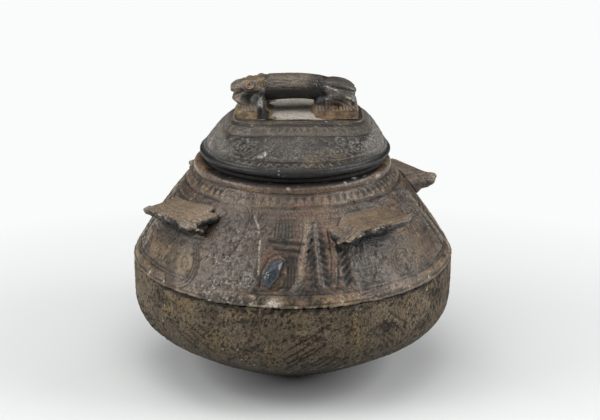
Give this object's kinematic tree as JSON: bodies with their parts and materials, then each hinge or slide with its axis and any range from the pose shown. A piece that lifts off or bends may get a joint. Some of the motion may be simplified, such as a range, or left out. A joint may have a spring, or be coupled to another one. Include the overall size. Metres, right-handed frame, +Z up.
{
  "type": "lidded jar",
  "caption": "Round-based clay jar with a ridged belly, shelf lugs on its shoulder and a loose domed lid with a beast-shaped bar handle.",
  "frame": {"origin": "on the jar's axis, at the flat worn under its base", "axes": "+Z up along the jar's axis, -Y towards the side with the leaf in relief, and the handle's beast looks along -X"},
  "size_m": [0.3216, 0.3216, 0.3005],
  "materials": {
    "rough_clay": "unglazed, rough and granular",
    "burnished_clay": "burnished and smoked, semi-gloss",
    "blackened_clay": "burnished and blackened, semi-gloss"
  },
  "bodies": {
    "jar": {"base_bowl": "rough_clay", "shoulder": "burnished_clay", "mouth_rim": "burnished_clay", "neck_collar": "burnished_clay", "lug_front_right": "burnished_clay", "lug_back_right": "burnished_clay", "lug_back_left": "burnished_clay", "lug_front_left": "burnished_clay", "leaf_boss": "blackened_clay"},
    "lid": {"lid_shell": "blackened_clay", "lid_seat_ring": "blackened_clay", "beast_body": "blackened_clay", "beast_head": "blackened_clay", "fore_post": "blackened_clay", "hind_post": "blackened_clay", "left_foreleg": "blackened_clay", "left_hindleg": "blackened_clay", "left_ear": "blackened_clay", "left_eye": "blackened_clay", "right_foreleg": "blackened_clay", "right_hindleg": "blackened_clay", "right_ear": "blackened_clay", "right_eye": "blackened_clay"}
  },
  "joints": [
    {"name": "lid_lift", "type": "slide", "parent": "jar", "child": "lid", "axis": [0, 0, 1], "range_m": [0, 0.15]}
  ]
}
